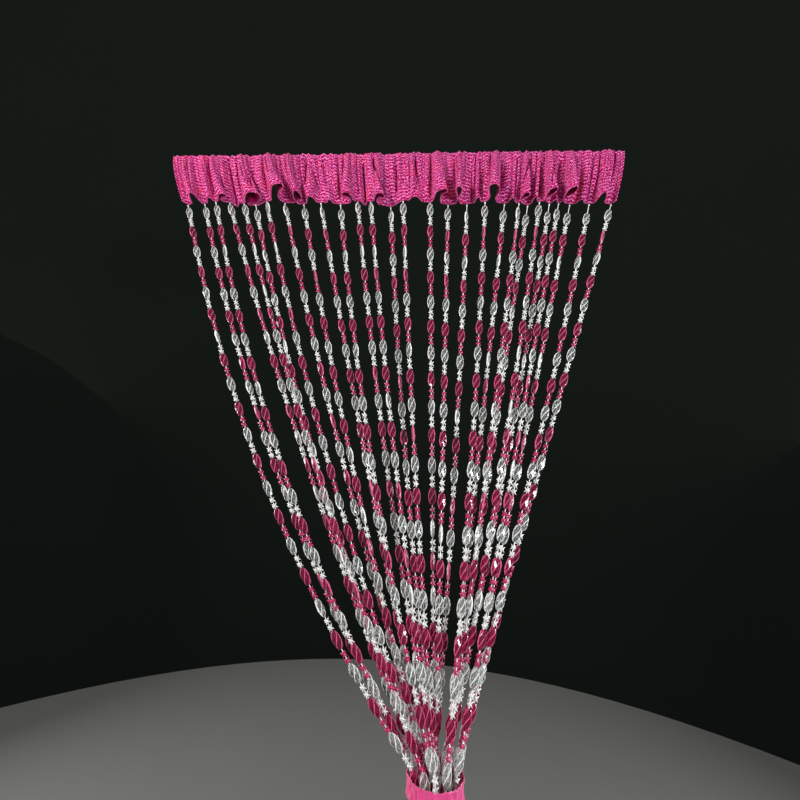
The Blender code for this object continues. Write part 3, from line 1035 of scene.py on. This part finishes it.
def pink_star_material():
    """Pink polystyrene, satin bright on every spike, with painted shade in the hollows."""
    return plastic_material("Moulded pink polystyrene", colours().pink_star, colours().pink_hollow_shade)


def thread_material():
    """Twisted white polyester thread, slightly glossy, with a ply that turns about every 1 mm."""
    material, tree, shader = new_material("Twisted polyester thread")
    ply = {"Vector": add_node(tree, "TexCoord")["Object"], "Scale": 330.0}
    ply = add_node(tree, "TexWave", {**ply, "bands_direction": "DIAGONAL"})["Fac"]
    bumps = {"Height": ply, "Strength": 0.5, "Distance": 0.0003}
    set_up(tree, shader, {
        "Base Color": colours().thread,
        "Roughness": 0.5,
        "Normal": add_node(tree, "Bump", bumps)[0],
    })
    return material


def satin_material():
    """Polyester satin: long soft painted highlights over lengthwise threads about 0.7 mm apart."""
    material, tree, shader = new_material("Polyester satin")
    place = add_node(tree, "TexCoord")["Object"]
    stretched = add_node(tree, "Mapping", {"Vector": place, "Scale": (60.0, 60.0, 1400.0)})[0]
    threads = {"Vector": stretched, "Scale": 1.0, "Detail": 2.0}
    threads = add_node(tree, "TexNoise", threads)["Fac"]
    # Painted highlight: streaks of the brighter pink along the threads.
    tones = {"data_type": "RGBA", 0: threads, 6: colours().tie, 7: colours().tie_highlight}
    bumps = {"Height": threads, "Strength": 0.4, "Distance": 0.0003}
    set_up(tree, shader, {
        "Base Color": add_node(tree, "Mix", tones)[2],
        "Roughness": 0.34,
        "Sheen Weight": 0.3,
        "Normal": add_node(tree, "Bump", bumps)[0],
    })
    return material


def plain_material(name, colour, roughness):
    """A matt painted studio surface with a faint mottle, about 0.3 m across."""
    material, tree, shader = new_material(name)
    place = add_node(tree, "TexCoord")["Object"]
    mottle = add_node(tree, "TexNoise", {"Vector": place, "Scale": 3.0, "Detail": 3.0})["Fac"]
    darker = [0.94 * value for value in colour[:3]] + [1.0]
    tones = {"data_type": "RGBA", 0: mottle, 6: colour, 7: darker}
    set_up(tree, shader, {
        "Base Color": add_node(tree, "Mix", tones)[2],
        "Roughness": roughness,
        "Specular IOR Level": 0.0,
    })
    return material


# The studio


def turned(name, profile, material):
    """Turn a profile of radius and height about the upright axis, with the front facing inwards."""
    sides = 96
    turn = 2 * np.pi * np.arange(sides) / sides
    points = np.stack([
        profile[:, :1] * np.cos(turn), profile[:, :1] * np.sin(turn),
        np.broadcast_to(profile[:, 1:], (len(profile), sides)),
    ], axis=2)
    faces = grid_faces(len(profile), sides, wrap=True)
    thing = make_mesh(name, points.reshape(-1, 3), faces, material=material)
    thing.data.shade_smooth()
    return thing


def aimed(place, aim):
    """Return the matrix that puts a light at a place and points it at another."""
    way = Vector(aim) - Vector(place)
    return Matrix.Translation(place) @ way.to_track_quat("-Z", "Y").to_matrix().to_4x4()


def build_room():
    """Make the floor, and the backdrop, which only the camera and the clear beads see."""
    floor_z = CAD_BOX[0].z - FLOOR_GAP
    rise = np.linspace(0, np.pi / 2, 17)
    dome_profile = np.stack([ROOM_RADIUS * np.cos(rise), floor_z + ROOM_HEIGHT * np.sin(rise)], axis=1)
    floor_profile = np.array([[0.0, floor_z], [1.0, floor_z], [ROOM_RADIUS, floor_z]])
    paint = plain_material("Painted studio floor", colours().floor, 0.7)
    floor = turned("studio_floor", floor_profile, paint)
    paint = plain_material("Painted backdrop", colours().wall, 0.8)
    dome = turned("studio_backdrop", dome_profile, paint)
    dome.visible_diffuse = False
    dome.visible_glossy = False
    dome.visible_shadow = False


def build_lights(scene):
    """Make the soft lights and the dim sky. The key light leaves no white patch on the beads."""
    world = bpy.data.worlds.new("Studio")
    world.use_nodes = True
    sky = {"Color": linear(SKY_COLOUR), "Strength": SKY_STRENGTH}
    set_up(world.node_tree, world.node_tree.nodes["Background"], sky)
    scene.world = world
    for lamp in LAMPS:
        light = bpy.data.lights.new(lamp.name, "AREA")
        light.shape = "DISK"
        light.size = lamp.width
        light.energy = lamp.power
        light.color = linear(lamp.colour)[:3]
        thing = bpy.data.objects.new(lamp.name, light)
        thing.matrix_world = aimed(lamp.place, lamp.aim)
        thing.visible_camera = False
        thing.visible_transmission = False
        thing.visible_glossy = lamp.name != "Key light"
        scene.collection.objects.link(thing)


def build_camera(scene):
    """Make the camera: level, then turned left, raised and tilted."""
    camera = bpy.data.cameras.new("Camera")
    camera.lens = CAMERA_LENS
    camera.sensor_width = SENSOR_WIDTH
    camera.clip_start, camera.clip_end = 0.01, 50.0
    thing = bpy.data.objects.new("Camera", camera)
    level = Matrix.Rotation(math.radians(90), 4, "X")
    turn = Matrix.Rotation(math.radians(CAMERA_LEFT), 4, "Z")
    raise_up = Matrix.Rotation(math.radians(CAMERA_UP), 4, "X")
    tilt = Matrix.Rotation(math.radians(CAMERA_TILT), 4, "Z")
    thing.matrix_world = Matrix.Translation(CAMERA_PLACE) @ turn @ level @ raise_up @ tilt
    scene.collection.objects.link(thing)
    scene.camera = thing


def build_stage():
    """Make the room, the lights and the camera."""
    scene = bpy.context.scene
    build_room()
    build_lights(scene)
    build_camera(scene)
    scene.view_settings.view_transform = "Standard"


# Operators, panel and registration


class CURTAIN_OT_heading(bpy.types.Operator):
    """Build the gathered cloth heading and its overlocked hem"""

    bl_idname = "curtain.heading"
    bl_label = "Build Heading"

    def execute(self, context):
        build_heading()
        return {"FINISHED"}


class CURTAIN_OT_strands(bpy.types.Operator):
    """Build the threads and their beads"""

    bl_idname = "curtain.strands"
    bl_label = "Build Strands"

    def execute(self, context):
        build_strands()
        return {"FINISHED"}


class CURTAIN_OT_tie(bpy.types.Operator):
    """Build the band round the bundle"""

    bl_idname = "curtain.tie"
    bl_label = "Build Tie"

    def execute(self, context):
        build_tie()
        return {"FINISHED"}


class CURTAIN_OT_stage(bpy.types.Operator):
    """Build the floor, backdrop, lights and camera"""

    bl_idname = "curtain.stage"
    bl_label = "Build Stage"

    def execute(self, context):
        build_stage()
        return {"FINISHED"}


OPERATORS = (CURTAIN_OT_heading, CURTAIN_OT_strands, CURTAIN_OT_tie, CURTAIN_OT_stage)


class CURTAIN_PT_panel(bpy.types.Panel):
    """Lists the curtain's sizes, colours and operators"""

    bl_idname = "CURTAIN_PT_panel"
    bl_label = "Bead Curtain"
    bl_space_type = "VIEW_3D"
    bl_region_type = "UI"
    bl_category = "Bead Curtain"

    def draw(self, context):
        for group in (context.scene.curtain_sizes, context.scene.curtain_colours):
            box = self.layout.box()
            for name in group.__annotations__:
                box.prop(group, name)
        for operator in OPERATORS:
            self.layout.operator(operator.bl_idname)


CLASSES = (CurtainSizes, CurtainColours, *OPERATORS, CURTAIN_PT_panel)


def register():
    """Register the classes and hang the settings on the scene."""
    for item in CLASSES:
        bpy.utils.register_class(item)
    bpy.types.Scene.curtain_sizes = PointerProperty(type=CurtainSizes)
    bpy.types.Scene.curtain_colours = PointerProperty(type=CurtainColours)


def unregister():
    """Take the settings off the scene and unregister the classes."""
    del bpy.types.Scene.curtain_colours
    del bpy.types.Scene.curtain_sizes
    for item in reversed(CLASSES):
        bpy.utils.unregister_class(item)


def main():
    """Build every piece and the stage."""
    register()
    bpy.ops.curtain.heading()
    bpy.ops.curtain.strands()
    bpy.ops.curtain.tie()
    bpy.ops.curtain.stage()


if __name__ == "__main__":
    main()
